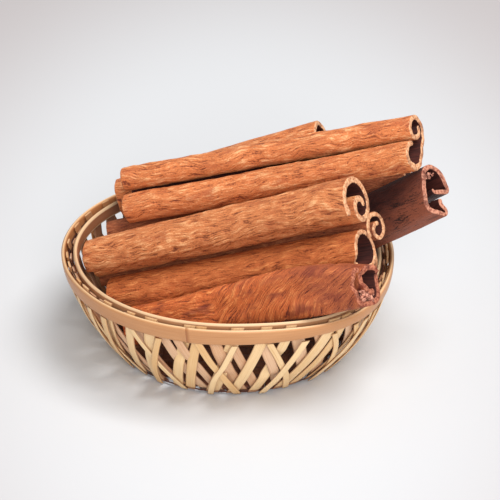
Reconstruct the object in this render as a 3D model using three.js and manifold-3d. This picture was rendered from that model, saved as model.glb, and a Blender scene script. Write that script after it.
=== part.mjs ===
// A woven bamboo basket filled with nine rolled cinnamon sticks.
// Millimetres, +Z up, origin at the centre of the rim's circle on the surface that the basket stands on.
// The photo looks along +Y and slightly down, so +X is the picture's right.

import * as THREE from 'three';
import { mergeVertices } from 'three/addons/utils/BufferGeometryUtils.js';
import Module from 'manifold-3d';

const wasm = await Module();
wasm.setup();

// Basket bowl. The base sits a little to the right of the rim, and wallCurve rounds the wall.
const basketHeight = 28;
const baseRadius = 30.8;
const wallTopRadius = 43.4;
const baseShift = new THREE.Vector2(1.4, 0.5);
const wallCurve = 1.7;
const floorThickness = 1.2;
const floorChamfer = 0.35;
const roundSides = 40;

// The front right of the rim, pressed down and out by the stick that lies on it (degrees and mm)
const pressAngle = -45;
const pressReach = 25;
const pressDown = 1.5;
const pressOut = 2.6;

// Flat bamboo splits, in two layers that lean opposite ways. Lean and wander are in degrees.
// The inner layer starts innerStagger of the space between two splits further round.
const splitThickness = 0.55;
const splitWidth = 3.2;
const splitsPerLayer = 36;
const splitSegments = 4;
const splitLean = 14;
const innerStagger = 0.5;
const leanWander = 1.6;
const placeWander = 1.2;
const widthWander = 0.14;
const splitFoot = 0.4;
const layerGap = 0.3;
const innerInset = splitThickness + layerGap;

// Bands and hoops
const bandTop = 27.7;
const bandThickness = 1.1;
const outerBandHeight = 4.9;
const innerBandHeight = 3.6;
const bandNarrowing = 1.5;
const liningInset = innerInset + splitThickness + 1.5 * layerGap;
const hoopThickness = 0.35;
const hoopMargin = (splitThickness - hoopThickness) / 2;
const footHoopHeight = 0.8;
const rimHoopBottom = bandTop - 3;
const rimHoopTop = bandTop - 1.2;

// Cinnamon. viewLift is how far the photo looks down, in degrees.
const viewLift = 28.4;
const barkThickness = 1.3;
const endCut = 5;
const arcStep = 25;
const stickSteps = 4;
const humpReach = 0.95;

const radians = THREE.MathUtils.degToRad;

// A surface finish

function finish(colour, roughness) {
  return new THREE.MeshStandardMaterial({ color: colour, roughness, metalness: 0 });
}

// How far the weight of the front stick presses the rim down and out: 1 at the front right, 0 elsewhere

function press(angle) {
  const turn = Math.atan2(Math.sin(angle - radians(pressAngle)), Math.cos(angle - radians(pressAngle)));
  return Math.exp(-((turn / radians(pressReach)) ** 2));
}

// A point of the wall, a given way in from its outer face

function wallPoint(angle, height, inset) {
  const rise = THREE.MathUtils.clamp(height / basketHeight, 0, 1);
  const spread = 1 - (1 - rise) ** wallCurve;
  const outward = pressOut * press(angle) * spread;
  const radius = baseRadius + (wallTopRadius - baseRadius) * spread + outward - inset;
  const shift = 1 - rise;
  return new THREE.Vector3(
    baseShift.x * shift + radius * Math.cos(angle),
    baseShift.y * shift + radius * Math.sin(angle),
    height - pressDown * press(angle) * rise ** 2
  );
}

// A band that follows the wall all round, between two heights and two insets. Its lower edge may
// rise a little where the rim is pressed.

function wallBand(bottom, top, outerInset, innerInset, narrowing = 0) {
  const corners = [[1, 0], [2, 0], [2, 1], [1, 1], [1, 0]];
  const profile = corners.map(([across, up]) => new THREE.Vector2(across, up));
  const geometry = new THREE.LatheGeometry(profile, roundSides);
  const place = geometry.attributes.position;
  const point = new THREE.Vector3();
  for (let i = 0; i < place.count; i += 1) {
    point.fromBufferAttribute(place, i);
    const across = Math.hypot(point.x, point.z) - 1;
    const angle = Math.atan2(point.z, point.x);
    const inset = THREE.MathUtils.lerp(innerInset, outerInset, across);
    const edge = bottom + narrowing * press(angle);
    const bent = wallPoint(angle, THREE.MathUtils.lerp(edge, top, point.y), inset);
    place.setXYZ(i, bent.x, bent.y, bent.z);
  }
  return closed(geometry, true);
}

// Only the places of the corners are kept, with shared corners merged

function closed(geometry, turnedInsideOut) {
  geometry.deleteAttribute('normal');
  geometry.deleteAttribute('uv');
  const merged = mergeVertices(geometry, 1e-4);
  if (turnedInsideOut) {
    const index = merged.index;
    for (let i = 0; i < index.count; i += 3) {
      const first = index.getX(i);
      index.setX(i, index.getX(i + 1));
      index.setX(i + 1, first);
    }
  }
  return merged;
}

function toSolid(geometry) {
  return new wasm.Manifold(new wasm.Mesh({
    numProp: 3,
    vertProperties: new Float32Array(geometry.attributes.position.array),
    triVerts: new Uint32Array(geometry.index.array)
  }));
}

function fromSolid(solid) {
  const mesh = solid.getMesh();
  const geometry = new THREE.BufferGeometry();
  geometry.setAttribute('position', new THREE.BufferAttribute(mesh.vertProperties, 3));
  geometry.setIndex(new THREE.BufferAttribute(mesh.triVerts, 1));
  return geometry;
}

// One flat bamboo split, bent onto the wall as it climbs and leans to one side

function split(number, lean, inset) {
  const wander = Math.sin(number * 2.4 + lean) + Math.sin(number * 5.3 - lean);
  const stagger = lean < 0 ? innerStagger : 0;
  const start = (number + stagger) * 2 * Math.PI / splitsPerLayer + radians(placeWander * wander);
  const run = lean * radians(splitLean + leanWander * Math.sin(number * 3.7 + lean));
  const width = splitWidth * (1 + widthWander * Math.sin(number * 4.1 + 2 * lean));
  const geometry = new THREE.BoxGeometry(width, 1, splitThickness, 1, splitSegments, 1);
  const place = geometry.attributes.position;
  for (let i = 0; i < place.count; i += 1) {
    const along = place.getY(i) + 0.5;
    const height = THREE.MathUtils.lerp(splitFoot, bandTop, along ** 1.1);
    const depth = inset + splitThickness / 2 - place.getZ(i);
    const middle = start + run * (height / basketHeight) ** 0.8;
    const radius = wallPoint(Math.PI / 2, height, 0).y;
    const bent = wallPoint(middle + place.getX(i) / radius, height, depth);
    place.setXYZ(i, bent.x, bent.y, bent.z);
  }
  return toSolid(closed(geometry, false));
}

// All the splits that lean one way, tied by a hoop between the rim bands and joined at the foot

function weave(lean, inset, foot) {
  const hoopInset = inset + hoopMargin;
  const hoop = wallBand(rimHoopBottom, rimHoopTop, hoopInset, hoopInset + hoopThickness);
  let solid = toSolid(hoop).add(toSolid(foot));
  for (let number = 0; number < splitsPerLayer; number += 1) {
    solid = solid.add(split(number, lean, inset));
  }
  return fromSolid(solid);
}

// The splits of the inner layer run on under the sticks as a flat floor

function basketFloor() {
  const reach = baseRadius - innerInset - hoopMargin;
  const profile = [
    new THREE.Vector2(0, 0),
    new THREE.Vector2(reach - floorChamfer, 0),
    new THREE.Vector2(reach, floorChamfer),
    new THREE.Vector2(reach, floorThickness),
    new THREE.Vector2(0, floorThickness)
  ];
  const geometry = new THREE.LatheGeometry(profile, roundSides);
  geometry.rotateX(Math.PI / 2);
  geometry.translate(baseShift.x, baseShift.y, 0);
  return closed(geometry, false);
}

// Cinnamon: a sheet of bark seen end on. Its centre line is made of straight runs and arcs
// that follow one another without a corner. A positive turn bends to the left.

function traceSheet(start, heading, runs) {
  const points = [];
  let place = start.clone();
  let direction = radians(heading);
  const note = () => points.push({ place: place.clone(), direction });
  note();
  for (const run of runs) {
    if (run.length) {
      place = place.clone().add(new THREE.Vector2(run.length, 0).rotateAround(new THREE.Vector2(), direction));
      note();
      continue;
    }
    const side = Math.sign(run.turn);
    const count = Math.ceil(Math.abs(run.turn) / arcStep);
    const towardCentre = new THREE.Vector2(0, side * run.radius);
    const centre = place.clone().add(towardCentre.rotateAround(new THREE.Vector2(), direction));
    for (let i = 0; i < count; i += 1) {
      place = place.clone().rotateAround(centre, radians(run.turn) / count);
      direction += radians(run.turn) / count;
      note();
    }
  }
  return points;
}

function sheetOutline(points, thickness, roll) {
  const left = [];
  const right = [];
  for (const { place, direction } of points) {
    const across = new THREE.Vector2(-Math.sin(direction), Math.cos(direction)).multiplyScalar(thickness / 2);
    left.push(place.clone().add(across));
    right.push(place.clone().sub(across));
  }
  const middle = new THREE.Vector2();
  return [...left, ...right.reverse()].map((point) => point.rotateAround(middle, radians(roll)));
}

// One edge rolled inward: the first edge lies at the angle startAngle, and the sheet winds clockwise

function scroll(startAngle, runs) {
  const radius = runs[0].radius;
  const start = new THREE.Vector2(radius, 0).rotateAround(new THREE.Vector2(), radians(startAngle));
  return traceSheet(start, startAngle - 90, runs.map((run) => ({ radius: run.radius, turn: -run.turn })));
}

// Both edges rolled inward, toward a seam on the side away from the back

function doubleRoll(back, upperRuns, lowerRuns) {
  const start = new THREE.Vector2(back, 0);
  const upper = traceSheet(start, 90, upperRuns);
  const mirrored = lowerRuns.map((run) => (run.length ? run : { radius: run.radius, turn: -run.turn }));
  const lower = traceSheet(start, -90, mirrored).slice(1).reverse();
  const turned = lower.map(({ place, direction }) => ({ place, direction: direction + Math.PI }));
  return [...turned, ...upper];
}

// A stick runs from its left end to its right end. Its outline is drawn as the viewer sees the
// right end: x points away from the viewer and y up. A hump raises the upper side along the middle.

const towardViewer = new THREE.Vector3(0, -Math.cos(radians(viewLift)), Math.sin(radians(viewLift)));

function stick(name, colour, options) {
  const left = new THREE.Vector3(...options.left);
  const right = new THREE.Vector3(...options.right);
  const direction = right.clone().sub(left);
  const length = direction.length();
  direction.normalize();

  const outline = sheetOutline(options.sheet, options.thickness ?? barkThickness, options.roll ?? 0);
  const low = Math.min(...outline.map((point) => point.y));
  const high = Math.max(...outline.map((point) => point.y));
  const shape = new THREE.Shape(outline);
  const geometry = new THREE.ExtrudeGeometry(shape, { depth: length, steps: stickSteps, bevelEnabled: false });
  const place = geometry.attributes.position;
  const slant = Math.tan(radians(options.cut ?? endCut));
  for (let i = 0; i < place.count; i += 1) {
    const along = place.getZ(i) / length;
    const size = 1 + (options.taper ?? 0) * (along - 0.5);
    const turned = new THREE.Vector2(place.getX(i), place.getY(i)).multiplyScalar(size);
    turned.rotateAround(new THREE.Vector2(), radians(options.twist ?? 0) * (along - 0.5));
    const hump = (options.hump ?? 0) * Math.sin(humpReach * Math.PI * along ** 2);
    turned.y += hump * (turned.y - low) / (high - low);
    const edge = Math.max(0, along * stickSteps - stickSteps + 1);
    place.setXYZ(i, turned.x, turned.y, place.getZ(i) + slant * turned.x * edge);
  }
  const mesh = new THREE.Mesh(closed(geometry, false), finish(colour, 0.75));
  mesh.name = name;

  const away = towardViewer.clone().addScaledVector(direction, -towardViewer.dot(direction)).normalize().negate();
  const up = new THREE.Vector3().crossVectors(direction, away);
  mesh.quaternion.setFromRotationMatrix(new THREE.Matrix4().makeBasis(away, up, direction));
  mesh.position.copy(left);
  return mesh;
}

const group = new THREE.Group();

function addBasketPiece(name, geometry, colour, roughness) {
  const mesh = new THREE.Mesh(geometry, finish(colour, roughness));
  mesh.name = name;
  group.add(mesh);
}

const footHoop = wallBand(splitFoot, splitFoot + footHoopHeight, hoopMargin, hoopMargin + hoopThickness);
const outerBottom = bandTop - outerBandHeight;
const outerBand = wallBand(outerBottom, bandTop, -layerGap - bandThickness, -layerGap, bandNarrowing);
const innerBand = wallBand(bandTop - innerBandHeight, bandTop, liningInset, liningInset + bandThickness);
addBasketPiece('weave_outer', weave(1, 0, footHoop), 0xe6c49a, 0.65);
addBasketPiece('weave_inner', weave(-1, innerInset, basketFloor()), 0xe9cdaa, 0.65);
addBasketPiece('rim_outer', outerBand, 0xd9a874, 0.55);
addBasketPiece('rim_inner', innerBand, 0xdcb68a, 0.6);

group.add(
  stick('stick_top_double', 0xbe7446, {
    left: [-27.3, 14.4, 36.3],
    right: [49.5, -4.25, 61.3],
    roll: -22,
    twist: -16,
    cut: 11,
    sheet: doubleRoll(
      3.7,
      [
        { length: 3.2 },
        { radius: 3.7, turn: 120 },
        { radius: 3.1, turn: 60 },
        { radius: 2.4, turn: 170 },
        { radius: 1.5, turn: 90 }
      ],
      [
        { length: 3.3 },
        { radius: 3.8, turn: 120 },
        { radius: 3.2, turn: 60 },
        { radius: 2.9, turn: 75 }
      ]
    )
  }),
  stick('stick_scroll', 0xc47a49, {
    left: [-36.6, 5.1, 20.9],
    right: [33.6, -19.3, 51.7],
    thickness: 1.5,
    taper: 0.13,
    cut: 6,
    sheet: scroll(215, [
      { radius: 5.3, turn: 235 },
      { radius: 4.2, turn: 60 },
      { radius: 2.6, turn: 210 },
      { radius: 1.4, turn: 90 }
    ])
  }),
  stick('stick_open_tube', 0xbd7040, {
    left: [-30.3, -0.9, 12.4],
    right: [36.1, -23, 39.3],
    cut: 6,
    sheet: scroll(232, [
      { radius: 5, turn: 200 },
      { radius: 4.7, turn: 130 }
    ])
  }),
  stick('stick_fibrous', 0xb8603a, {
    left: [-25.6, -15.2, 11.9],
    right: [35.6, -38.7, 37.2],
    thickness: 1.4,
    roll: -90,
    cut: 16,
    hump: 3,
    sheet: doubleRoll(
      4.4,
      [
        { length: 1.6 },
        { radius: 2.8, turn: 90 },
        { length: 3.4 },
        { radius: 2.4, turn: 90 },
        { length: 0.3 },
        { radius: 1.9, turn: 90 },
        { length: 2.6 },
        { radius: 1.5, turn: 90 },
        { length: 1.2 }
      ],
      [
        { length: 1.6 },
        { radius: 2.4, turn: 90 },
        { length: 4.6 },
        { radius: 1.6, turn: 90 },
        { length: 0.7 }
      ]
    )
  }),
  stick('stick_dark_double', 0x7d4a3a, {
    left: [15.2, 15.3, 14.3],
    right: [54.5, -10, 49.9],
    roll: 149,
    cut: 4,
    sheet: doubleRoll(
      3.5,
      [
        { length: 3 },
        { radius: 2.9, turn: 90 },
        { length: 3.8 },
        { radius: 0.9, turn: 150 },
        { length: 1.2 },
        { radius: 1.3, turn: -75 },
        { length: 0.7 }
      ],
      [
        { length: 3.3 },
        { radius: 3.5, turn: 150 },
        { length: 3.5 },
        { radius: 0.9, turn: 107 },
        { length: 4 },
        { radius: 0.7, turn: 110 }
      ]
    )
  }),
  stick('stick_back_top', 0xb9713f, {
    left: [-29.1, 24, 30],
    right: [26.1, 18, 51],
    sheet: scroll(300, [
      { radius: 5, turn: 240 },
      { radius: 4.6, turn: 90 }
    ])
  }),
  stick('stick_small_scroll', 0xb36a3f, {
    left: [-33.4, 10.5, 12.4],
    right: [39.3, -13.3, 40.8],
    thickness: 1.2,
    cut: 12,
    sheet: scroll(215, [
      { radius: 3.7, turn: 215 },
      { radius: 2.9, turn: 90 },
      { radius: 2, turn: 200 }
    ])
  }),
  stick('stick_low_tube', 0xa96036, {
    left: [-26.3, 6.5, 5.8],
    right: [37.8, -13.3, 31.5],
    thickness: 1.1,
    sheet: scroll(205, [
      { radius: 3.75, turn: 220 },
      { radius: 3.4, turn: 100 }
    ])
  }),
  stick('stick_middle_tube', 0xb76c41, {
    left: [-31.8, 16.4, 20.9],
    right: [48.9, 13, 44.5],
    sheet: scroll(250, [
      { radius: 4.7, turn: 230 },
      { radius: 4.3, turn: 100 }
    ])
  })
);

export default group;
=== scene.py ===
# A woven bamboo basket filled with nine rolled cinnamon sticks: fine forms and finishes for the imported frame.
# Shapes are worked out in millimetres and handed over in metres.

import math

import bmesh
import bpy
import numpy as np
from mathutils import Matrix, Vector


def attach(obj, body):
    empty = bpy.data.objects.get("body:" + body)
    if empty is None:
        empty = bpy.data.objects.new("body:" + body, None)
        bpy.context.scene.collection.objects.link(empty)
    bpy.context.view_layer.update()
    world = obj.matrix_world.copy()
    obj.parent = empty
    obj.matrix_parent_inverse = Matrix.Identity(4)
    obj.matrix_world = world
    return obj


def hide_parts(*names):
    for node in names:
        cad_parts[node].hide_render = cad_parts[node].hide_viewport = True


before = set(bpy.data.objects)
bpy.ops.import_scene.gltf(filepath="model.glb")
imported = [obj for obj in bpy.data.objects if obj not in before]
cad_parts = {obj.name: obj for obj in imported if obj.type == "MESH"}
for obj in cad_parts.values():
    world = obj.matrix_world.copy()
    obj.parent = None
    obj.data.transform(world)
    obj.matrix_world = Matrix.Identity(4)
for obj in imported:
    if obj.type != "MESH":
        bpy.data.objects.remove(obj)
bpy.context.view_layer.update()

MM = 0.001
PHOTO_SIDE = 500

# Basket bowl, as in the part's source (mm and degrees)
BASKET_HEIGHT = 28
BASE_RADIUS = 30.8
WALL_TOP_RADIUS = 43.4
BASE_SHIFT = (1.4, 0.5)
WALL_CURVE = 1.7
FLOOR_THICKNESS = 1.2
PRESS_ANGLE = -45
PRESS_REACH = 25
PRESS_DOWN = 1.5
PRESS_OUT = 2.6

# Splits
SPLIT_THICKNESS = 0.55
SPLIT_WIDTH = 3.2
SPLITS_PER_LAYER = 36
SPLIT_LEAN = 14
INNER_STAGGER = 0.5
LEAN_WANDER = 1.6
PLACE_WANDER = 1.2
WIDTH_WANDER = 0.14
SPLIT_FOOT = 0.4
LAYER_GAP = 0.3
INNER_INSET = SPLIT_THICKNESS + LAYER_GAP
CLIMB = 0.8
TUCKED_TIP = 1.5

# Bands and hoops
BAND_TOP = 27.7
BAND_THICKNESS = 1.1
OUTER_BAND_HEIGHT = 4.9
INNER_BAND_HEIGHT = 3.6
BAND_NARROWING = 1.5
LINING_INSET = INNER_INSET + SPLIT_THICKNESS + 1.5 * LAYER_GAP
HOOP_THICKNESS = 0.35
HOOP_MARGIN = (SPLIT_THICKNESS - HOOP_THICKNESS) / 2
FOOT_HOOP_HEIGHT = 0.8
RIM_HOOP_BOTTOM = BAND_TOP - 3
RIM_HOOP_TOP = BAND_TOP - 1.8

# The photo's view: how far it looks down, the mm for one pixel, the camera's distance in pixels, the width of
# its sensor, and where it puts the middle of the rim
VIEW_LIFT = 28.4
PIXEL = 0.27
CAMERA_PIXELS = 2600
SENSOR_WIDTH = 36
RIM_CENTRE = (0, 0, 28.35)
RIM_CENTRE_PIXEL = (227, 245)


# Steady noise

def scatter(column, row, seed):
    """A steady random number from -1 to 1 for each pair of whole numbers."""
    mixed = column.astype(np.int64) * 374761393 + row.astype(np.int64) * 668265263 + seed * 1442695041
    mixed &= 0xFFFFFFFF
    mixed = ((mixed ^ (mixed >> 13)) * 1274126177) & 0xFFFFFFFF
    mixed ^= mixed >> 16
    return mixed / 0x7FFFFFFF - 1


def waves(x, y, seed):
    """Smooth noise from -1 to 1, with about one bump for each unit of x and of y."""
    x, y = np.broadcast_arrays(np.asarray(x, float), np.asarray(y, float))
    column, row = np.floor(x), np.floor(y)
    right, up = x - column, y - row
    right, up = right * right * (3 - 2 * right), up * up * (3 - 2 * up)
    low = scatter(column, row, seed) * (1 - right) + scatter(column + 1, row, seed) * right
    high = scatter(column, row + 1, seed) * (1 - right) + scatter(column + 1, row + 1, seed) * right
    return low * (1 - up) + high * up


def folds(x, y, seed):
    """Narrow rounded ridges between broad valleys, from -1 to 1."""
    return 1 - 2 * np.abs(waves(x, y, seed)) ** 0.8


# Shader sums and finishes

class Reading:
    """The output of a shader node. A sum or a product of readings adds the Math node for it."""

    def __init__(self, finish, socket):
        self.finish = finish
        self.socket = socket

    def __add__(self, other):
        return self.finish.sum("ADD", self, other)

    def __radd__(self, other):
        return self.finish.sum("ADD", other, self)

    def __sub__(self, other):
        return self.finish.sum("SUBTRACT", self, other)

    def __rsub__(self, other):
        return self.finish.sum("SUBTRACT", other, self)

    def __mul__(self, other):
        return self.finish.sum("MULTIPLY", self, other)

    def __rmul__(self, other):
        return self.finish.sum("MULTIPLY", other, self)

    def between(self, low, high):
        """0 where this is at or below low, 1 at or above high, and smooth from one to the other."""
        settings = {"interpolation_type": "SMOOTHSTEP"}
        return self.finish.node("MapRange", settings, {"Value": self, "From Min": low, "From Max": high})


class Finish:
    """A material, made node by node."""

    def __init__(self, name):
        self.material = bpy.data.materials.new(name)
        self.material.use_nodes = True
        self.tree = self.material.node_tree
        self.tree.nodes.clear()

    def node(self, kind, settings=None, sockets=None, output=0):
        made = self.tree.nodes.new("ShaderNode" + kind)
        for setting, value in (settings or {}).items():
            setattr(made, setting, value)
        for name, value in (sockets or {}).items():
            if isinstance(value, Reading):
                self.tree.links.new(value.socket, made.inputs[name])
            else:
                made.inputs[name].default_value = value
        return Reading(self, made.outputs[output])

    def sum(self, operation, *terms):
        return self.node("Math", {"operation": operation}, dict(enumerate(terms)))

    def blend(self, amount, first, second):
        """The first colour where amount is 0 and the second where it is 1."""
        return self.node("Mix", {"data_type": "RGBA"}, {0: amount, 6: first, 7: second}, 2)

    def measure(self, name, output="Fac"):
        """What the mesh keeps under that name: a number by default, or its Vector."""
        return self.node("Attribute", {"attribute_name": name}, output=output)

    def across(self, vector, scale):
        """A vector with each of its parts multiplied by its own number."""
        return self.node("VectorMath", {"operation": "MULTIPLY"}, {0: vector, 1: scale})

    def clouds(self, vector, scale, detail=2.0, roughness=0.5):
        """Soft noise from 0 to 1."""
        sockets = {"Vector": vector, "Scale": scale, "Detail": detail, "Roughness": roughness}
        return self.node("TexNoise", {"noise_dimensions": "3D"}, sockets)

    def relief(self, height, depth):
        """A bump whose height of 1 stands for that depth in mm."""
        return self.node("Bump", None, {"Strength": 1.0, "Distance": depth * MM, "Height": height})

    def close(self, **sockets):
        """Ends the material in one Principled shader."""
        sockets = {name.replace("_", " "): value for name, value in sockets.items()}
        output = self.tree.nodes.new("ShaderNodeOutputMaterial")
        self.tree.links.new(self.node("BsdfPrincipled", None, sockets).socket, output.inputs["Surface"])
        return self.material


def linear(part):
    """One part of a screen colour, 0 to 255, as linear light from 0 to 1."""
    return ((part / 255 + 0.055) / 1.055) ** 2.4 if part > 10 else part / 3295


def tone(red, green, blue):
    """A colour as it shows on a screen, as the linear light that shaders need."""
    return (linear(red), linear(green), linear(blue), 1)


# Bark finishes. The mesh keeps "grain", the mm along the stick, round the sheet and round it along the folds,
# and "relief", how high a fold is.

def bark_outside(
    name, crest, body, valley, patch, patchiness=0.5, tip=None, tip_start=40, tip_end=60, tip_lean=0.0
):
    """Weathered bark: paler crests and darker red valleys, painted partly from the fold relief as highlight and
    shade and partly from fine fibres, with small scars.

    The tip has its own tint, which reaches further along at one side; on the dark double stick it is the
    lighter end left out of its painted shade.
    """
    bark = Finish(name)
    grain = bark.measure("grain", "Vector")
    relief = bark.measure("relief")
    along = bark.node("SeparateXYZ", None, {0: grain}, 0)
    around = bark.node("SeparateXYZ", None, {0: grain}, 1)
    fibres = bark.clouds(bark.across(grain, (0.3, 0, 3.0)), 1.0, 5.0, 0.66)
    specks = bark.clouds(bark.across(grain, (1.7, 0, 4.4)), 1.0, 3.0, 0.6)
    broad = bark.clouds(bark.across(grain, (0.09, 0.3, 0)), 1.0, 3.0, 0.55)
    if tip:
        nearness = (along + around * tip_lean + (broad - 0.5) * 40).between(tip_start, tip_end)
        body = bark.blend(nearness, body, tip)
        crest = bark.blend(nearness * 0.6, crest, tip)
    # Painted highlight and shade: the fold relief makes crests paler and valleys darker; fibres and specks add
    # the bark's own tone.
    wear_and_fold_shading = relief * 0.42 + (fibres - 0.5) * 2.7 + (specks - 0.5) * 1.2
    colour = bark.blend((0.0 - wear_and_fold_shading).between(0.0, 0.55), body, valley)
    colour = bark.blend(wear_and_fold_shading.between(0.03, 0.66), colour, crest)
    stained = broad.between(0.5, 0.68) * patchiness
    colour = bark.blend(stained, colour, patch)
    scar = specks.between(0.62, 0.72) * 0.55
    colour = bark.blend(scar, colour, valley)
    height = fibres * 0.7 + specks * 0.3
    return bark.close(
        Base_Color=colour,
        Roughness=0.62 + (fibres - 0.5) * 0.3,
        Normal=bark.relief(height, 0.7),
        Specular_IOR_Level=0.3,
    )


def bark_inside(name, body, shade):
    """The smooth inner face, browner than the outside and darkened further as painted shade for the inside of
    the roll, with straight fibres.
    """
    bark = Finish(name)
    grain = bark.measure("grain", "Vector")
    fibres = bark.clouds(bark.across(grain, (0.2, 2.8, 0)), 1.0, 4.0, 0.6)
    broad = bark.clouds(bark.across(grain, (0.1, 0.25, 0)), 1.0, 2.0)
    colour = bark.blend((fibres * 0.7 + broad * 0.5).between(0.45, 0.8), shade, body)
    return bark.close(
        Base_Color=colour,
        Roughness=0.7,
        Normal=bark.relief(fibres, 0.08),
        Specular_IOR_Level=0.25,
    )


def bark_cut(name, pale, body, dark):
    """The sawn rim of the sheet: pale, crumbly and grained across."""
    bark = Finish(name)
    place = bark.node("TexCoord", output="Object")
    crumbs = bark.clouds(place, 1400.0, 3.0, 0.65)
    layers = bark.clouds(place, 420.0, 3.0, 0.6)
    colour = bark.blend(crumbs.between(0.36, 0.62), body, pale)
    colour = bark.blend((1 - layers).between(0.5, 0.66) * 0.6, colour, dark)
    return bark.close(
        Base_Color=colour,
        Roughness=0.85,
        Normal=bark.relief(crumbs, 0.12),
        Specular_IOR_Level=0.2,
    )


# Bamboo finishes. The mesh keeps "grain", the mm along and across a split and its number. It also keeps
# "edge", which grows to 1 at the edges of a split, and "inner", which is 1 on its back: the face toward the
# sticks in the wall and the bands, and the underside in the floor.

EDGE_BLEND = 0.18


def bamboo_finish(
    name, pale, golden, brown, streak, roughness=0.48, darkened_start=0.0, lip=None, lip_start=0.82
):
    """Planed bamboo: fine straight lines, a tone of its own for each split, browner on its edges, and browner
    on its back as painted shade.

    lip is another tone for the edges. The start setting gives how many mm are darker where a split starts.
    """
    bamboo = Finish(name)
    grain = bamboo.measure("grain", "Vector")
    along = bamboo.node("SeparateXYZ", None, {0: grain}, 0)
    number = bamboo.node("SeparateXYZ", None, {0: grain}, 2)
    own_tone = bamboo.node("TexWhiteNoise", {"noise_dimensions": "1D"}, {"W": number}, 0)
    lines = bamboo.clouds(bamboo.across(grain, (0.05, 3.4, 7.3)), 1.0, 4.0, 0.65)
    broad = bamboo.clouds(bamboo.across(grain, (0.07, 0.35, 3.1)), 1.0, 3.0, 0.5)
    edge = bamboo.measure("edge")
    amount = own_tone * 0.5 + (lines - 0.5) * 0.9 + broad * 0.5
    colour = bamboo.blend(amount.between(0.15, 0.85), pale, golden)
    colour = bamboo.blend(lines.between(0.6, 0.78) * streak, colour, brown)
    # Painted shade: the back of a strip, toward the sticks and under the floor, turns browner.
    colour = bamboo.blend(bamboo.measure("inner") * 0.8, colour, brown)
    colour = bamboo.blend(edge.between(lip_start, lip_start + EDGE_BLEND) * 0.65, colour, lip or brown)
    # Darker where a split or band starts, for as many mm as the start setting gives.
    if darkened_start:
        colour = bamboo.blend((darkened_start - along).between(0.0, 1.0) * 0.8, colour, brown)
    return bamboo.close(
        Base_Color=colour,
        Roughness=roughness + (lines - 0.5) * 0.2,
        Normal=bamboo.relief(lines, 0.06),
        Specular_IOR_Level=0.4,
    )


# Meshes

SHARP_ANGLE = 65


def new_piece(name, points, faces, zones, materials, measures, nodes):
    """A smooth piece with crisp rims. points are in mm, and zones give each face its material."""
    mesh = bpy.data.meshes.new(name)
    corners = (np.asarray(points) * MM).tolist()
    mesh.from_pydata(corners, [], faces.tolist() if isinstance(faces, np.ndarray) else faces)
    for material in materials:
        mesh.materials.append(material)
    mesh.polygons.foreach_set("material_index", np.asarray(zones, np.int32))
    for measure, values in measures.items():
        values = np.asarray(values, np.float32)
        kind = "FLOAT" if values.ndim == 1 else "FLOAT_VECTOR"
        attribute = mesh.attributes.new(measure, kind, "POINT")
        attribute.data.foreach_set("value" if kind == "FLOAT" else "vector", values.ravel())
    made = bmesh.new()
    made.from_mesh(mesh)
    bmesh.ops.recalc_face_normals(made, faces=made.faces)
    made.to_mesh(mesh)
    made.free()
    mesh.shade_smooth()
    mesh.set_sharp_from_angle(angle=math.radians(SHARP_ANGLE))
    piece = bpy.data.objects.new(name, mesh)
    bpy.context.scene.collection.objects.link(piece)
    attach(piece, "root")
    if nodes:
        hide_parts(*nodes)
    return piece


def tube_faces(rings, loop, closed_rings=False):
    """Quads between rings of points, each ring a closed loop."""
    ring = np.arange(rings if closed_rings else rings - 1)[:, None] * loop
    after = (ring + loop) % (rings * loop)
    here = np.arange(loop)[None, :]
    there = (here + 1) % loop
    return np.stack([ring + here, ring + there, after + there, after + here], -1).reshape(-1, 4)


# Cinnamon: the centre line of a rolled sheet of bark, seen end on

TRACE_STEP = 0.1
FINE_COLUMN = 0.22
COARSE_COLUMN = 0.5
RIM_ROWS = (0, 0.12, 0.4, 0.8)
RIM_ROUNDING = 0.12
HUMP_REACH = 0.95
THROUGH = 4
EDGE_TRIM = 0.5
EDGE_FULLNESS = 0.36
THICKNESS_WANDER = 0.12
INNER_FOLDS = 0.07

# The ends of a stick: where the rows after the rim start, how its folds calm down, how far its torn edge
# reaches, where the slant of the cut begins and how high the crumbs of the cut face are
FIRST_ROW = RIM_ROWS[-1] * 1.6
CALM_REACH = 1.6
CALMED_SHARE = 0.7
TORN_REACH = 2.2
CUT_START = 0.75
CRUMBLY_RIM = 0.06


def trace_sheet(start, heading, runs):
    """Points (x, y, direction) along straight runs (length,) and arcs (radius, turn in degrees).

    A positive turn bends left.
    """
    x, y = start
    direction = math.radians(heading)
    points = [(x, y, direction)]
    for run in runs:
        length = run[0] if len(run) == 1 else run[0] * math.radians(abs(run[1]))
        bend = 0 if len(run) == 1 else math.copysign(1 / run[0], run[1])
        count = math.ceil(length / TRACE_STEP)
        step = length / count
        for _ in range(count):
            x += step * math.cos(direction + bend * step / 2)
            y += step * math.sin(direction + bend * step / 2)
            direction += bend * step
            points.append((x, y, direction))
    return points


def turned_back(runs):
    return [run if len(run) == 1 else (run[0], -run[1]) for run in runs]


def scroll(start_angle, runs):
    """One edge rolled inward. The sheet winds clockwise, with its outer face on the left."""
    radius = runs[0][0]
    angle = math.radians(start_angle)
    start = (radius * math.cos(angle), radius * math.sin(angle))
    return trace_sheet(start, start_angle - 90, turned_back(runs)), 1


def double_roll(back, upper_runs, lower_runs):
    """Both edges rolled inward. The sheet's outer face is on the right of its centre line."""
    upper = trace_sheet((back, 0), 90, upper_runs)
    lower = trace_sheet((back, 0), -90, turned_back(lower_runs))[:0:-1]
    return [(x, y, direction + math.pi) for x, y, direction in lower] + upper, -1


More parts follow.
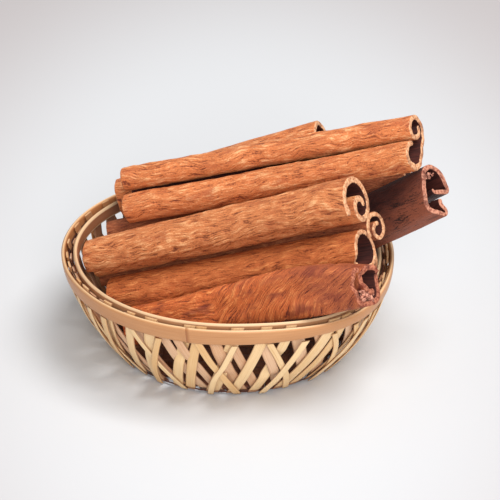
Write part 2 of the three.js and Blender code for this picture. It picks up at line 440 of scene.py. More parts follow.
class Bark:
    """How folded one stick's bark is: a fold's depth, length and width in mm, and the height of broad lumps.

    From the share slant_start of the stick's length on, the folds also run round it, by slant mm for each mm
    along it.
    """

    def __init__(self, depth=0.2, length=6, width=0.6, slant=0.0, slant_start=0.0, lumps=0.16):
        self.depth = depth
        self.length = length
        self.width = width
        self.slant = slant
        self.slant_start = slant_start
        self.lumps = lumps

    def relief(self, along, around, length, seed):
        """Wavy lengthwise folds from about -1 to 1, and the way round the sheet that follows them."""
        drift = 1.2 * waves(along / 9, around / 6, seed) + 0.4 * waves(along / 2.6, around / 2.2, seed + 1)
        lean = self.slant * length * np.clip(along / length - self.slant_start, 0, 1)
        wavy = around + drift + lean
        coarse = waves(along / self.length, wavy / self.width, seed + 2)
        creased = folds(along / (self.length * 0.8), wavy / (self.width * 2.2), seed + 7)
        fine = waves(along / (self.length * 0.5), wavy / (self.width * 0.6), seed + 3)
        calm = 0.75 + 0.35 * waves(along / 13, around / 5, seed + 4)
        return (coarse * 0.6 + creased * 0.5) * calm + fine * 0.35, wavy

    def swell(self, along, around, seed):
        """Broad lumps, from about -1 to 1."""
        return waves(along / 19, around / 7, seed + 5) + 0.5 * waves(along / 7, around / 4, seed + 6)


def stick_axes(left, right):
    """The ways across, up and along a stick as the viewer sees its right end, and its length."""
    heading = Vector(right) - Vector(left)
    length = heading.length
    heading.normalize()
    lift = math.radians(VIEW_LIFT)
    toward = Vector((0, -math.cos(lift), math.sin(lift)))
    away = -(toward - heading * toward.dot(heading)).normalized()
    return np.array([away, heading.cross(away), heading]), length


def edge_wander(along, seed):
    """How far an edge of the sheet strays round the stick, in mm."""
    return 0.3 * waves(along / 6, 0, seed) + 0.12 * waves(along / 1.7, 0, seed + 1)


def spread_columns(reach, seen):
    """How many columns a sheet has, and each one's share of its width. They are close where it is seen."""
    spacing = np.where((reach > seen[0]) & (reach < seen[1]), FINE_COLUMN, COARSE_COLUMN)
    share = np.concatenate([[0], np.cumsum(np.diff(reach) / spacing[1:])])
    columns = round(share[-1])
    return columns, np.interp(np.linspace(0, share[-1], columns + 1), share, reach / reach[-1])[None, :]


def torn_ends(around, along, length, chips, seed):
    """How far both ends stand out or are bitten off. A chip is (end, place, width, depth)."""
    ragged = np.zeros_like(around)
    for end, fade in ((1, np.exp(-(length - along) / TORN_REACH)), (-1, np.exp(-along / TORN_REACH))):
        torn = 0.14 * waves(around / 1.9, end, seed + 31)
        torn = torn + 0.05 * waves(around / 0.6, end, seed + 32)
        for chip_end, place, width, depth in chips:
            if chip_end == end:
                bite = np.exp(-np.abs((around - place) / width) ** 3)
                torn = torn - depth * bite * (1 + 0.35 * waves(around / 0.5, 7, seed + 33))
        ragged = ragged + end * torn * fade
    return ragged


def quill(
    name, node, slot, materials, left, right, sheet, bark, seed, thickness=1.3, roll=0, twist=0, taper=0,
    cut=5, hump=0, seen=(0, 100), row_step=0.45, chips=(), swells=()
):
    """A stick of rolled bark between its left and right ends.

    roll and twist turn it about its length and cut slants its right end, all in degrees. taper is how much
    wider the right end is, and hump raises its upper side by that many mm on the way. seen is the stretch of
    the sheet with fine columns. A swell (place, width, amount) moves both faces of the sheet out, or in where
    the amount is below 0.
    """
    centre, outward = sheet
    centre = np.array(centre)
    steps = np.hypot(np.diff(centre[:, 0]), np.diff(centre[:, 1]))
    reach = np.concatenate([[0], np.cumsum(steps)])
    axes, length = stick_axes(left, right)
    rows = np.array(RIM_ROWS)
    middle = np.linspace(FIRST_ROW, length - FIRST_ROW, round(length / row_step))
    along = np.concatenate([rows, middle, length - rows[::-1]])[:, None]
    columns, fraction = spread_columns(reach, seen)
    first = EDGE_TRIM + edge_wander(along, seed + 11)
    last = reach[-1] - EDGE_TRIM + edge_wander(along, seed + 13)
    around = first + (last - first) * fraction
    x = np.interp(around, reach, centre[:, 0])
    y = np.interp(around, reach, centre[:, 1])
    direction = np.interp(around, reach, centre[:, 2])
    normal_x, normal_y = -np.sin(direction) * outward, np.cos(direction) * outward

    relief, wavy = bark.relief(along, around, length, seed)
    lumps = bark.lumps * bark.swell(along, around, seed)
    near_end = np.exp(-along / CALM_REACH) + np.exp(-(length - along) / CALM_REACH)
    rim = np.ones_like(along)
    rim[[0, -1]] = 1 - 2 * RIM_ROUNDING / thickness
    half = thickness / 2 * rim * (1 + THICKNESS_WANDER * waves(along / 15, around / 3.5, seed + 8))
    for place, width, amount in swells:
        half = half + amount * np.exp(-((around - place) / width) ** 2)
    outside = half + bark.depth * relief * (1 - CALMED_SHARE * near_end) + lumps
    inside = half + INNER_FOLDS * folds(along / 9, around / 1.4, seed + 21) - lumps

    def offset(columns_used, depth, stretch=0.0):
        """The points that lie so far out from the centre line, and so far past its end."""
        forward = direction[:, columns_used]
        px = x[:, columns_used] + normal_x[:, columns_used] * depth + np.cos(forward) * stretch
        py = y[:, columns_used] + normal_y[:, columns_used] * depth + np.sin(forward) * stretch
        return px, py

    everywhere = np.arange(columns + 1)
    loop_x, loop_y, loop_around, loop_wavy, loop_relief = [], [], [], [], []

    def note(points, columns_used, heights):
        loop_x.append(points[0])
        loop_y.append(points[1])
        loop_around.append(around[:, columns_used])
        loop_wavy.append(wavy[:, columns_used])
        loop_relief.append(heights)

    def note_edge(column, side, order):
        for step in order:
            angle = math.pi * step / THROUGH
            mix = (1 + math.cos(angle)) / 2
            depth = outside[:, [column]] * mix - inside[:, [column]] * (1 - mix)
            stretch = side * math.sin(angle) * thickness * EDGE_FULLNESS
            note(offset([column], depth, stretch), [column], np.zeros_like(along))

    note(offset(everywhere, outside), everywhere, relief)
    note_edge(columns, 1, range(1, THROUGH))
    note(offset(everywhere[::-1], -inside[:, ::-1]), everywhere[::-1], np.zeros_like(relief))
    note_edge(0, -1, range(THROUGH - 1, 0, -1))
    loop_x, loop_y = np.hstack(loop_x), np.hstack(loop_y)
    loop_around, loop_wavy = np.hstack(loop_around), np.hstack(loop_wavy)
    loop_relief = np.hstack(loop_relief)
    loop = loop_x.shape[1]

    part = along / length
    rolled = centre[:, 0] * math.sin(math.radians(roll)) + centre[:, 1] * math.cos(math.radians(roll))
    low, high = rolled.min() - thickness / 2, rolled.max() + thickness / 2
    angle = np.radians(roll) + np.radians(twist) * (part - 0.5)
    size = 1 + taper * (part - 0.5)
    turned_x = (loop_x * np.cos(angle) - loop_y * np.sin(angle)) * size
    turned_y = (loop_x * np.sin(angle) + loop_y * np.cos(angle)) * size
    turned_y = turned_y + hump * np.sin(HUMP_REACH * math.pi * part ** 2) * (turned_y - low) / (high - low)
    slant = math.tan(math.radians(cut)) * turned_x * np.maximum(0, (part - CUT_START) / (1 - CUT_START))
    away_z = along + slant + torn_ends(loop_around, along, length, chips, seed)

    def placed(across, height, depth):
        return np.stack([across, height, depth], -1).reshape(-1, 3) @ axes + np.array(left)

    points = [placed(turned_x, turned_y, away_z)]
    rings = len(along)
    faces = [tube_faces(rings, loop)]
    zones = np.ones((rings - 1, loop), np.int32)
    zones[:, :columns] = 0
    zones[:, 2 * columns + THROUGH - 1:] = 0
    zones[[0, -1]] = 2
    zones = [zones.ravel()]
    grain = [np.stack([np.broadcast_to(along, loop_x.shape), loop_around, loop_wavy], -1).reshape(-1, 3)]
    heights = [loop_relief.ravel()]

    count = rings * loop
    for ring in (0, rings - 1):
        grid = np.zeros((THROUGH + 1, columns + 1), np.int64)
        base = ring * loop
        grid[0] = base + everywhere
        grid[THROUGH] = base + (2 * columns + THROUGH - everywhere)
        for step in range(1, THROUGH):
            grid[step, columns] = base + columns + step
            grid[step, 0] = base + loop - step
        inner = np.arange(1, columns)
        place = around[ring, inner]
        for step in range(1, THROUGH):
            grid[step, 1:columns] = count + np.arange(columns - 1)
            mix = step / THROUGH
            here = [values[ring, inner] * (1 - mix) + values[ring, 2 * columns + THROUGH - inner] * mix
                    for values in (turned_x, turned_y, away_z)]
            side = 1 if ring else -1
            crumbly = waves(place / 0.7, step * 1.7, seed + 41)
            here[2] = here[2] + side * (CRUMBLY_RIM + CRUMBLY_RIM * crumbly)
            points.append(placed(*here))
            grain.append(np.stack([np.full(columns - 1, mix), place, np.zeros(columns - 1)], -1))
            heights.append(np.zeros(columns - 1))
            count += columns - 1
        cap = np.stack([grid[:-1, :-1], grid[:-1, 1:], grid[1:, 1:], grid[1:, :-1]], -1).reshape(-1, 4)
        faces.append(cap)
        zones.append(np.full(len(cap), 2, np.int32))

    measures = {"grain": np.concatenate(grain), "relief": np.concatenate(heights)}
    points, faces, zones = np.concatenate(points), np.concatenate(faces), np.concatenate(zones)
    return new_piece(name, points, faces, zones, materials, measures, [node])


def crumbs(name, slot, material, left, right, middle, spread, size, count, seed):
    """Ragged crumbs of bark that stick to each other and to the sheet inside a stick's right end.

    middle and spread are mm across, up and past the end.
    """
    axes, length = stick_axes(left, right)
    chance = np.random.default_rng(seed)
    made = bmesh.new()
    bmesh.ops.create_icosphere(made, subdivisions=2, radius=1)
    ball = np.array([corner.co[:] for corner in made.verts])
    sides = np.array([[corner.index for corner in face.verts] for face in made.faces])
    made.free()
    points, faces, grain = [], [], []
    for number in range(count):
        place = np.array(middle) + np.array(spread) * chance.uniform(-1, 1, 3) + (0, 0, length)
        rough = 1 + 0.35 * waves(ball[:, 0] * 2 + number * 5, ball[:, 1] * 2 + ball[:, 2] * 3, seed)
        shape = ball * rough[:, None] * chance.uniform(*size) * chance.uniform(0.6, 1.3, 3)
        points.append((shape + place) @ axes + np.array(left))
        faces.append(sides + number * len(ball))
        grain.append(shape * 3 + number)
    points, faces = np.concatenate(points), np.concatenate(faces)
    measures = {"grain": np.concatenate(grain), "relief": np.zeros(len(points))}
    return new_piece(name, points, faces, np.zeros(len(faces), np.int32), [material], measures, [])


# Basket shapes

def press(angle):
    """How far the front stick's weight presses the rim: 1 at the front right, 0 elsewhere."""
    turn = np.angle(np.exp(1j * (angle - math.radians(PRESS_ANGLE))))
    return np.exp(-(turn / math.radians(PRESS_REACH)) ** 2)


def wall_point(angle, height, inset):
    """Points of the wall, a given way in from its outer face."""
    angle, height, inset = np.broadcast_arrays(angle, np.asarray(height, float), inset)
    rise = np.clip(height / BASKET_HEIGHT, 0, 1)
    spread = 1 - (1 - rise) ** WALL_CURVE
    radius = BASE_RADIUS + (WALL_TOP_RADIUS - BASE_RADIUS) * spread
    radius = radius + PRESS_OUT * press(angle) * spread - inset
    shift = 1 - rise
    return np.stack([
        BASE_SHIFT[0] * shift + radius * np.cos(angle),
        BASE_SHIFT[1] * shift + radius * np.sin(angle),
        height - PRESS_DOWN * press(angle) * rise ** 2,
    ], -1)


def split_path(number, lean):
    """Where a split starts, how far it runs round the wall (radians), and its width."""
    wander = math.sin(number * 2.4 + lean) + math.sin(number * 5.3 - lean)
    stagger = INNER_STAGGER if lean < 0 else 0
    start = (number + stagger) * math.tau / SPLITS_PER_LAYER + math.radians(PLACE_WANDER * wander)
    run = lean * math.radians(SPLIT_LEAN + LEAN_WANDER * math.sin(number * 3.7 + lean))
    return start, run, SPLIT_WIDTH * (1 + WIDTH_WANDER * math.sin(number * 4.1 + 2 * lean))


# Flat strips: how far their edges are rounded off, how much their faces are crowned, how much their ends
# count as an edge, from what depth on a point is on the back, and how much of the depth goes into the grain
STRIP_ROUNDING = 0.7
STRIP_CROWN = 0.12
STRIP_END_EDGE = 0.9
INNER_FACE_DEPTH = -0.1
GRAIN_DEPTH_SHARE = 0.4

# The numbers that keep the kinds of strips apart. The first three are added to a strip's place in its row. A
# number picks the tint, and the noise of narrow splits, hoops and bands.
FALLING_NUMBERS = 100
NARROW_NUMBERS = 200
FLOOR_NUMBERS = (300, 400)
HOOP_NUMBERS = (510, 511, 512)
OUTER_BAND_NUMBER = 520
INNER_BAND_NUMBER = 530


def strip_outline(width, thickness, columns=6):
    """Points (across, out) round a flat strip with soft edges, and how near each is to an edge."""
    half, thick = width / 2, thickness / 2
    across = np.linspace(-1, 1, columns)
    flat = across * (half - thick * STRIP_ROUNDING)
    crown = thick * (1 - STRIP_CROWN * across ** 2)
    outline = [(x, y) for x, y in zip(flat, crown)]
    outline.append((half, 0))
    outline += [(x, -y) for x, y in zip(flat[::-1], crown[::-1])]
    outline.append((-half, 0))
    outline = np.array(outline)
    return outline, np.abs(outline[:, 0]) / half


class Strips:
    """Many flat strips gathered into one mesh."""

    def __init__(self):
        self.points, self.faces, self.grain, self.edge, self.inner = [], [], [], [], []
        self.count = 0

    def add(self, rings, outline, edge, along, number, closed=False):
        """One strip, ring of points by ring. It has capped ends, or closes on itself all round the basket."""
        loop = len(outline)
        rings_used = len(along)
        self.points.append(rings.reshape(-1, 3))
        self.faces += (tube_faces(rings_used, loop, closed) + self.count).tolist()
        ends = np.zeros(rings_used)
        if not closed:
            self.faces.append((np.arange(loop) + self.count).tolist())
            self.faces.append((np.arange(loop) + self.count + (rings_used - 1) * loop).tolist())
            ends[[0, -1]] = STRIP_END_EDGE
        self.edge.append(np.maximum(edge[None, :], ends[:, None]).ravel())
        self.grain.append(np.stack([
            np.repeat(along, loop),
            np.tile(outline[:, 0] + GRAIN_DEPTH_SHARE * outline[:, 1], rings_used),
            np.full(rings_used * loop, float(number)),
        ], -1))
        self.inner.append(np.tile(outline[:, 1] < INNER_FACE_DEPTH, rings_used))
        self.count += rings_used * loop

    def piece(self, name, material, slot, nodes):
        points = np.concatenate(self.points)
        zones = np.zeros(len(self.faces), np.int32)
        measures = {
            "grain": np.concatenate(self.grain),
            "edge": np.concatenate(self.edge),
            "inner": np.concatenate(self.inner),
        }
        return new_piece(name, points, self.faces, zones, [material], measures, nodes)


# Crossings: how many neighbours to each side are looked at, between which climbs two splits may trade places,
# and about how many in ten do
NEIGHBOURS = 4
TRADE_CLIMBS = (0.22, 0.74)
TRADES_IN_TEN = 3


def crossings(number, lean):
    """The climbs (0 to 1) where a split meets those of the other layer, and if they trade places there."""
    start, run, _ = split_path(number, lean)
    met = []
    for step in range(-NEIGHBOURS, NEIGHBOURS + 1):
        other = number + step
        other_start, other_run, _ = split_path(other % SPLITS_PER_LAYER, -lean)
        other_start += math.tau * (other // SPLITS_PER_LAYER)
        climb = (other_start - start) / (run - other_run)
        if TRADE_CLIMBS[0] < climb < TRADE_CLIMBS[1]:
            rising, falling = (number, other) if lean > 0 else (other, number)
            pair = (rising * 7 + falling * 13 + rising * falling * 3) % SPLITS_PER_LAYER
            met.append((climb, pair % 10 < TRADES_IN_TEN))
    return met


SPLIT_RINGS = 46
SPLIT_LENGTH = 32
RISE_CURVE = 1.1
TRADE_REACH = 0.16
TRADE_STEEPNESS = 6


def wall_split(strips, number, lean, inset):
    """One split, which trades places with some of those that it crosses."""
    start, run, width = split_path(number, lean)
    outline, edge = strip_outline(width, SPLIT_THICKNESS)
    part = np.linspace(0, 1, SPLIT_RINGS)
    top = BAND_TOP - (TUCKED_TIP if lean < 0 else 0)
    height = SPLIT_FOOT + (top - SPLIT_FOOT) * part ** RISE_CURVE
    climb = (height / BASKET_HEIGHT) ** CLIMB
    depth = np.full(SPLIT_RINGS, float(inset))
    for place, trades in crossings(number, lean):
        if trades:
            depth += lean * INNER_INSET * np.exp(-((climb - place) / TRADE_REACH) ** TRADE_STEEPNESS)
    depth += 0.06 * waves(part * 5, number, 51)
    middle = start + run * climb + 0.008 * waves(part * 3, number * 1.3, 52 + lean)
    narrow = 1 + 0.06 * waves(part * 6, number * 1.7, 53 + lean)
    radius = wall_point(math.pi / 2, height, 0)[:, 1]
    angle = middle[:, None] + outline[None, :, 0] * narrow[:, None] / radius[:, None]
    rings = wall_point(angle, height[:, None], (depth + SPLIT_THICKNESS / 2)[:, None] - outline[None, :, 1])
    strips.add(rings, outline, edge, part * SPLIT_LENGTH, number + (FALLING_NUMBERS if lean < 0 else 0))


# Narrow splits. Their grain starts past the darker stretch at the start of the others.
NARROW_TOP = 22.4
NARROW_RINGS = 24
NARROW_LENGTH = 26
NARROW_UNDARKENED = 3
NARROW_THICKNESS = 0.45
NARROW_OUT = 0.32
NARROW_LAYER = 0.55
NARROW_BULGE = 0.4


def narrow_split(strips, number, angle, lean, width):
    """A narrow split on the outside of the wall, from the foot to under the outer band.

    Those that lean one way lie over those that lean the other.
    """
    outline, edge = strip_outline(width, NARROW_THICKNESS)
    part = np.linspace(0, 1, NARROW_RINGS)
    height = SPLIT_FOOT + (NARROW_TOP - SPLIT_FOOT) * part
    middle = math.radians(angle) + math.radians(lean) * part + 0.012 * waves(part * 3, number, 71)
    radius = wall_point(math.pi / 2, height, 0)[:, 1]
    turn = middle[:, None] + outline[None, :, 0] / radius[:, None]
    bulge = NARROW_BULGE * (0.1 + 0.25 * np.sin(math.pi * part))
    layer = NARROW_OUT + (NARROW_LAYER if lean > 0 else 0)
    rings = wall_point(turn, height[:, None], -layer - bulge[:, None] - outline[None, :, 1])
    strips.add(rings, outline, edge, part * NARROW_LENGTH + NARROW_UNDARKENED, number)


BAND_RINGS = 260
BAND_COLUMNS = 9
WOBBLE_CALM = 40


def round_band(strips, bottom, top, outer_inset, inner_inset, number, seam=None, step=0.0, narrowing=0.0):
    """A band that follows the wall all round. At the seam its outer end lies over its inner end.

    Its lower edge rises by narrowing where the rim is pressed.
    """
    height, thickness = top - bottom, inner_inset - outer_inset
    outline, edge = strip_outline(height, thickness, BAND_COLUMNS)
    turn = np.linspace(0, math.tau, BAND_RINGS, endpoint=False)
    from_seam = (turn if seam is None else (turn - math.radians(seam)) % math.tau) / math.tau
    lift = step * (1 - from_seam)
    wobble = 0.1 * waves(turn * 3, 0, 61 + number) + 0.05 * waves(turn * 11, 0, 62 + number)
    wobble *= 1 - np.cos(turn * 0.5) ** WOBBLE_CALM
    lower = (bottom + narrowing * press(turn) + 0.1 * waves(turn * 4, 3, 63 + number))[:, None]
    heights = lower + (top - lower) * (outline[None, :, 0] / height + 0.5)
    inset = (outer_inset + inner_inset) / 2 - outline[None, :, 1] - (lift + wobble * 0.4)[:, None]
    rings = wall_point(turn[:, None], np.minimum(heights, top), inset)
    strips.add(rings, outline, edge, from_seam * math.tau * WALL_TOP_RADIUS, number, closed=True)


FLOOR_STRIP_WIDTH = 3.3
FLOOR_STRIP_SPACE = 3.45
FLOOR_STRIP_LIFT = 0.27
FLOOR_STRIP_STEP = 0.9


def plaited_floor(strips):
    """Flat strips woven over and under each other as a disc."""
    reach = BASE_RADIUS - INNER_INSET - HOOP_MARGIN
    outline, edge = strip_outline(FLOOR_STRIP_WIDTH, SPLIT_THICKNESS, 4)
    count = int(reach / FLOOR_STRIP_SPACE)
    for way in (0, 1):
        for number in range(-count, count + 1):
            across = number * FLOOR_STRIP_SPACE
            half = math.sqrt(max(0, reach ** 2 - (abs(across) + FLOOR_STRIP_WIDTH / 2) ** 2))
            if half < FLOOR_STRIP_SPACE:
                continue
            along = np.linspace(-half, half, max(8, round(half * 2 / FLOOR_STRIP_STEP)))
            side = 1 if (number + way) % 2 else -1
            lift = FLOOR_STRIP_LIFT * side * np.cos(math.pi * along / FLOOR_STRIP_SPACE)
            middle = FLOOR_THICKNESS / 2 + lift
            first = np.repeat(along[:, None], len(outline), 1)
            second = across + np.repeat(outline[None, :, 0], len(along), 0)
            x, y = (first, second) if way == 0 else (second, first)
            z = middle[:, None] + outline[None, :, 1]
            rings = np.stack([x + BASE_SHIFT[0], y + BASE_SHIFT[1], z], -1)
            strips.add(rings, outline, edge, along, FLOOR_NUMBERS[way] + number)


# The finishes

def stick_finishes(name, tones, rim=None, **settings):
    tones = {part: tone(*colour) for part, colour in tones.items()}
    return [bark_outside(name + "_outside", **tones, **settings), inner_bark_and_shade, rim or cut_bark]


# Painted shade: the inner face is nearly black to stand for the shade inside the rolls.
inner_bark_and_shade = bark_inside("bark_inner_face_shaded", tone(86, 40, 32), tone(44, 20, 18))
cut_bark = bark_cut("bark_cut_rim", tone(230, 178, 136), tone(186, 124, 86), tone(108, 56, 40))
dark_cut_bark = bark_cut("bark_dark_cut_rim", tone(204, 142, 116), tone(144, 84, 66), tone(78, 38, 34))
crumb_bark = bark_cut("bark_crumbs", tone(222, 158, 132), tone(124, 64, 54), tone(66, 28, 30))
red_cut_bark = bark_cut("bark_red_cut_rim", tone(186, 116, 88), tone(120, 58, 44), tone(66, 26, 26))

pale_split = bamboo_finish(
    "bamboo_split_front", tone(248, 214, 164), tone(230, 182, 122), tone(150, 88, 52),
    streak=0.45, darkened_start=2.4,
)
# Painted shade: the inner layer of splits is a darker copy of the front ones, for the shade it lies in behind
# them.
shaded_split = bamboo_finish(
    "bamboo_split_back_shaded", tone(236, 196, 158), tone(212, 158, 114), tone(112, 58, 34),
    streak=0.45, darkened_start=2.4,
)
# Painted shade: the plaited floor is dark brown for the shaded inside of the basket seen through the wall.
dark_shaded_plait = bamboo_finish(
    "bamboo_floor_shaded", tone(128, 78, 50), tone(100, 56, 36), tone(66, 34, 24),
    streak=0.5, roughness=0.6,
)
band_bamboo = bamboo_finish(
    "bamboo_band", tone(220, 164, 114), tone(196, 138, 90), tone(160, 98, 56),
    streak=0.35, roughness=0.42, darkened_start=1.7, lip=tone(240, 206, 160),
)
lining_bamboo = bamboo_finish(
    "bamboo_lining", tone(216, 166, 122), tone(188, 132, 90), tone(128, 72, 44),
    streak=0.4, lip=tone(244, 212, 168), lip_start=0.58,
)
stained_bamboo = bamboo_finish(
    "bamboo_stained_hoop", tone(110, 56, 38), tone(80, 38, 28), tone(52, 24, 18),
    streak=0.5, roughness=0.6,
)

# The sticks

AMBER = dict(crest=(254, 194, 138), body=(218, 126, 72), valley=(120, 52, 32), patch=(172, 84, 52))
GOLDEN = dict(crest=(250, 186, 130), body=(212, 126, 74), valley=(112, 50, 28), patch=(172, 84, 46))
ORANGE = dict(crest=(234, 150, 88), body=(200, 108, 56), valley=(118, 52, 24), patch=(164, 76, 36))
RED = dict(crest=(244, 152, 88), body=(204, 102, 50), valley=(92, 36, 28), patch=(132, 58, 40))
# DARK paints shade over the dark stick's own darker bark.
DARK = dict(crest=(98, 52, 44), body=(62, 31, 29), valley=(38, 20, 20), patch=(56, 28, 28))
# DEEP_SHADED is painted shade: darker tones for the sticks that show mostly in the gaps between the others.
DEEP_SHADED = dict(crest=(206, 128, 84), body=(160, 86, 52), valley=(92, 42, 26), patch=(122, 58, 38))

# Sticks of which little shows have coarser meshes
HALF_HIDDEN = dict(row_step=0.6, seen=(0, 0))

quill(
    "top_double_quill", "stick_top_double", "bark_brown", stick_finishes("bark_top_double", AMBER),
    left=(-27.3, 14.4, 36.3), right=(49.5, -4.25, 61.3), roll=-22, twist=-16, cut=11, seed=100,
    bark=Bark(depth=0.26, length=7, width=0.65), seen=(6, 34), swells=[(9.5, 3, 0.3)],
    sheet=double_roll(
        3.7,
        [(3.2,), (3.7, 120), (3.1, 60), (2.4, 170), (1.5, 90)],
        [(3.3,), (3.8, 120), (3.2, 60), (2.9, 75)],
    ),
)
quill(
    "scroll_quill", "stick_scroll", "bark_golden", stick_finishes("bark_scroll", GOLDEN),
    left=(-36.6, 5.1, 20.9), right=(33.6, -19.3, 51.7), thickness=1.5, taper=0.13, cut=6, seed=200,
    bark=Bark(depth=0.22, length=4, width=0.5), seen=(0, 26), swells=[(0.8, 1.8, 0.22)],
    sheet=scroll(215, [(5.3, 235), (4.2, 60), (2.6, 210), (1.4, 90)]),
)
quill(
    "open_tube_quill", "stick_open_tube", "bark_golden", stick_finishes("bark_open_tube", ORANGE),
    left=(-30.3, -0.9, 12.4), right=(36.1, -23, 39.3), cut=6, seed=300,
    bark=Bark(depth=0.14, length=5, width=0.55), seen=(0, 24),
    sheet=scroll(232, [(5, 200), (4.7, 130)]),
    chips=[(1, 1.6, 1.6, 1.5), (1, 27, 1.2, 0.8)],
)
FIBROUS = dict(left=(-25.6, -15.2, 11.9), right=(35.6, -38.7, 37.2))
fibrous_finishes = stick_finishes(
    "bark_fibrous", RED, red_cut_bark, patchiness=0.75, tip=tone(170, 88, 54), tip_start=30, tip_end=74
)
quill(
    "fibrous_quill", "stick_fibrous", "bark_red", fibrous_finishes, **FIBROUS,
    thickness=1.4, roll=-90, cut=16, hump=3, seed=400,
    bark=Bark(depth=0.24, length=3.5, width=0.42, slant=0.65, slant_start=0.4), seen=(0, 28),
    sheet=double_roll(
        4.4,
        [(1.6,), (2.8, 90), (3.4,), (2.4, 90), (0.3,), (1.9, 90), (2.6,), (1.5, 90), (1.2,)],
        [(1.6,), (2.4, 90), (4.6,), (1.6, 90), (0.7,)],
    ),
    chips=[(1, 24.5, 1.3, -0.9), (1, 5, 1.4, 0.7), (1, 30, 1.5, 1.2)],
)
crumbs(
    "fibrous_crumbs", "bark_red", crumb_bark, **FIBROUS,
    middle=(0.6, -2.2, -0.9), spread=(3, 1.3, 0.8), size=(0.35, 0.85), count=44, seed=450,
)
# Painted shade: the dark double stick's own darker bark is darkened further for the shade of the sticks above
# it; its lighter tip, reaching further along at one side, is where that painted shade gives way.
DARK_DOUBLE = dict(left=(15.2, 15.3, 14.3), right=(54.5, -10, 49.9))
dark_shaded_finishes = stick_finishes(
    "bark_dark_shaded_double", DARK, dark_cut_bark, tip=tone(160, 88, 62), tip_start=90, tip_end=140, tip_lean=2.6
)
quill(
    "dark_double_quill", "stick_dark_double", "bark_dark", dark_shaded_finishes, **DARK_DOUBLE,
    roll=149, cut=4, seed=500,
    bark=Bark(depth=0.1, length=10, width=1.2, lumps=0.05), seen=(5, 32),
    swells=[(0.6, 1.2, -0.22), (6.2, 1.2, -0.12), (35.5, 1.5, -0.14)],
    sheet=double_roll(
        3.5,
        [(3,), (2.9, 90), (3.8,), (0.9, 150), (1.2,), (1.3, -75), (0.7,)],
        [(3.3,), (3.5, 150), (3.5,), (0.9, 107), (4,), (0.7, 110)],
    ),
)
crumbs(
    "dark_double_crumbs", "bark_dark", crumb_bark, **DARK_DOUBLE,
    middle=(1.4, 4.1, -0.7), spread=(1.7, 0.6, 0.6), size=(0.22, 0.5), count=16, seed=550,
)
quill(
    "back_top_quill", "stick_back_top", "bark_brown", stick_finishes("bark_back_top", AMBER),
    left=(-29.1, 24, 30), right=(26.1, 18, 51), seed=600, bark=Bark(depth=0.14, lumps=0.07), **HALF_HIDDEN,
    sheet=scroll(300, [(5, 240), (4.6, 90)]),
)
quill(
    "small_scroll_quill", "stick_small_scroll", "bark_brown", stick_finishes("bark_small_scroll", DEEP_SHADED),
    left=(-33.4, 10.5, 12.4), right=(39.3, -13.3, 40.8), thickness=1.2, cut=12, seed=700, bark=Bark(),
    **HALF_HIDDEN, sheet=scroll(215, [(3.7, 215), (2.9, 90), (2, 200)]),
)
quill(
    "low_tube_quill", "stick_low_tube", "bark_brown", stick_finishes("bark_low_tube", DEEP_SHADED),
    left=(-26.3, 6.5, 5.8), right=(37.8, -13.3, 31.5), thickness=1.1, seed=800, bark=Bark(),
    **HALF_HIDDEN, sheet=scroll(205, [(3.75, 220), (3.4, 100)]),
)
quill(
    "middle_tube_quill", "stick_middle_tube", "bark_brown", stick_finishes("bark_middle_tube", DEEP_SHADED),
    left=(-31.8, 16.4, 20.9), right=(48.9, 13, 44.5), seed=900, bark=Bark(depth=0.12, lumps=0.06),
    **HALF_HIDDEN, sheet=scroll(250, [(4.7, 230), (4.3, 100)]),
)

# The basket. A group of narrow splits is (start, spacing, count, tilt), all but the count in degrees.

NARROW_GROUPS = ((-139, 12.7, 8, 12), (-44, 5.1, 8, 8), (-6, 3.1, 12, 6), (150, 4.2, 16, 8))
NARROW_WIDTHS = (1.6, 2.5)
NARROW_SEED = 77

rising = Strips()
falling = Strips()
for number in range(SPLITS_PER_LAYER):
    wall_split(rising, number, 1, 0)
    wall_split(falling, number, -1, INNER_INSET)
plait = Strips()
plaited_floor(plait)
rising.piece("rising_splits", pale_split, "bamboo_split", ["weave_outer"])
falling.piece("falling_splits", shaded_split, "bamboo_split", ["weave_inner"])
plait.piece("plaited_floor", dark_shaded_plait, "bamboo_split", [])

narrow = Strips()
chance = np.random.default_rng(NARROW_SEED)
for start, spacing, count, tilt in NARROW_GROUPS:
    for number in range(count):
        lean = tilt if number % 2 else -tilt
        place = start + number * spacing + chance.uniform(-1, 1)
        width = chance.uniform(*NARROW_WIDTHS)
        narrow_split(narrow, NARROW_NUMBERS + start + number, place, lean, width)
narrow.piece("narrow_splits", pale_split, "bamboo_split", [])

hoops = Strips()
rim_hoop = (RIM_HOOP_BOTTOM, RIM_HOOP_TOP)
foot_hoop = (SPLIT_FOOT, SPLIT_FOOT + FOOT_HOOP_HEIGHT)
hoop_places = ((foot_hoop, HOOP_MARGIN), (rim_hoop, HOOP_MARGIN), (rim_hoop, INNER_INSET + HOOP_MARGIN))
for (span, hoop_inset), number in zip(hoop_places, HOOP_NUMBERS):
    round_band(hoops, *span, hoop_inset, hoop_inset + HOOP_THICKNESS, number)
hoops.piece("tying_hoops", stained_bamboo, "bamboo_split", [])

outer_band = Strips()
round_band(
    outer_band, BAND_TOP - OUTER_BAND_HEIGHT, BAND_TOP, -LAYER_GAP - BAND_THICKNESS, -LAYER_GAP,
    OUTER_BAND_NUMBER, seam=-104.5, step=0.22, narrowing=BAND_NARROWING,
)
outer_band.piece("outer_band", band_bamboo, "bamboo_rim", ["rim_outer"])
inner_band = Strips()
round_band(
    inner_band, BAND_TOP - INNER_BAND_HEIGHT, BAND_TOP, LINING_INSET, LINING_INSET + BAND_THICKNESS,
    INNER_BAND_NUMBER, seam=60, step=0.1,
)
inner_band.piece("inner_band", lining_bamboo, "bamboo_lining", ["rim_inner"])


# Stage

WORLD_LIGHT = 0.45
KEY_POWER = 16
FRONT_POWER = 7.5
LAMP_AIM = (0, 0, 20)

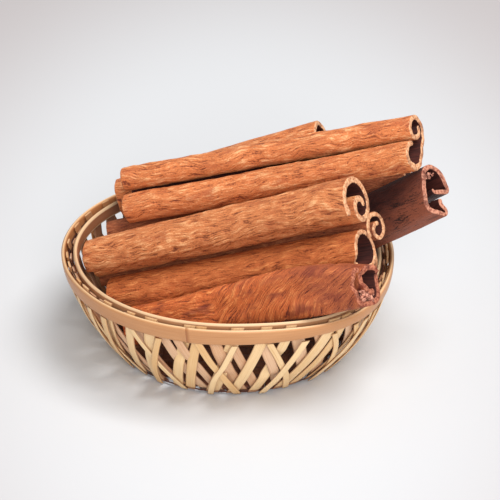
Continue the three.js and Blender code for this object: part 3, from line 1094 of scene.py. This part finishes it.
# The floor. It greys over a reach in metres as a painted falloff of light, with the way to the back shortened
# as the slanted view shows it.
FLOOR_HALF = 2500
FLOOR_DROP = 0.02
PHOTO_CENTRE = (0.0062, 0.0496, 0)
SLANT_SHARE = 0.475
PAINTED_FALLOFF_REACH = (0.05, 0.13)


def stage_floor():
    """A pale floor with painted shade, a little greyer far from the middle."""
    half = FLOOR_HALF * MM
    mesh = bpy.data.meshes.new("floor")
    corners = [(-half, -half, 0), (half, -half, 0), (half, half, 0), (-half, half, 0)]
    mesh.from_pydata(corners, [], [(0, 1, 2, 3)])
    paper = Finish("pale_floor")
    place = paper.node("TexCoord", output="Object")
    offset = paper.node("VectorMath", {"operation": "SUBTRACT"}, {0: place, 1: PHOTO_CENTRE})
    slanted = paper.across(offset, (1, SLANT_SHARE, 1))
    reach = paper.node("VectorMath", {"operation": "LENGTH"}, {0: slanted}, "Value")
    # Painted shade: the floor greys away from the middle as light falls off.
    colour = paper.blend(reach.between(*PAINTED_FALLOFF_REACH), tone(207, 208, 210), tone(184, 178, 178))
    mesh.materials.append(paper.close(Base_Color=colour, Roughness=0.8, Specular_IOR_Level=0.2))
    floor = bpy.data.objects.new("floor", mesh)
    floor.location.z = -FLOOR_DROP * MM
    bpy.context.scene.collection.objects.link(floor)


def soft_light(name, place, size, power):
    """A square lamp that faces the basket. place and size are in mm, power in watts."""
    lamp = bpy.data.lights.new(name, "AREA")
    lamp.size = size * MM
    lamp.energy = power
    holder = bpy.data.objects.new(name, lamp)
    holder.location = Vector(place) * MM
    aim = Vector(LAMP_AIM) - Vector(place)
    holder.rotation_euler = aim.to_track_quat("-Z", "Y").to_euler()
    bpy.context.scene.collection.objects.link(holder)


def photo_camera():
    """The camera at the photo's angle, with the rim's middle at its pixel."""
    lift = math.radians(VIEW_LIFT)
    distance = CAMERA_PIXELS * PIXEL
    lens = bpy.data.cameras.new("camera")
    lens.sensor_width = SENSOR_WIDTH
    lens.lens = SENSOR_WIDTH * CAMERA_PIXELS / PHOTO_SIDE
    lens.shift_x = (PHOTO_SIDE / 2 - RIM_CENTRE_PIXEL[0]) / PHOTO_SIDE
    lens.shift_y = (RIM_CENTRE_PIXEL[1] - PHOTO_SIDE / 2) / PHOTO_SIDE
    camera = bpy.data.objects.new("camera", lens)
    centre = Vector(RIM_CENTRE)
    camera.location = (centre + Vector((0, -math.cos(lift), math.sin(lift))) * distance) * MM
    camera.rotation_euler = (math.radians(90 - VIEW_LIFT), 0, 0)
    bpy.context.scene.collection.objects.link(camera)
    bpy.context.scene.camera = camera


def studio():
    """Even white light all round, a broad soft lamp overhead on the right and a weaker one in front."""
    world = bpy.data.worlds.new("studio")
    world.use_nodes = True
    background = world.node_tree.nodes["Background"]
    background.inputs["Color"].default_value = (1, 1, 1, 1)
    background.inputs["Strength"].default_value = WORLD_LIGHT
    bpy.context.scene.world = world
    soft_light("key_lamp", place=(370, -190, 1250), size=760, power=KEY_POWER)
    soft_light("front_lamp", place=(130, -1050, 610), size=420, power=FRONT_POWER)
    view = bpy.context.scene.view_settings
    view.view_transform = "Standard"
    view.look = "None"


stage_floor()
studio()
photo_camera()
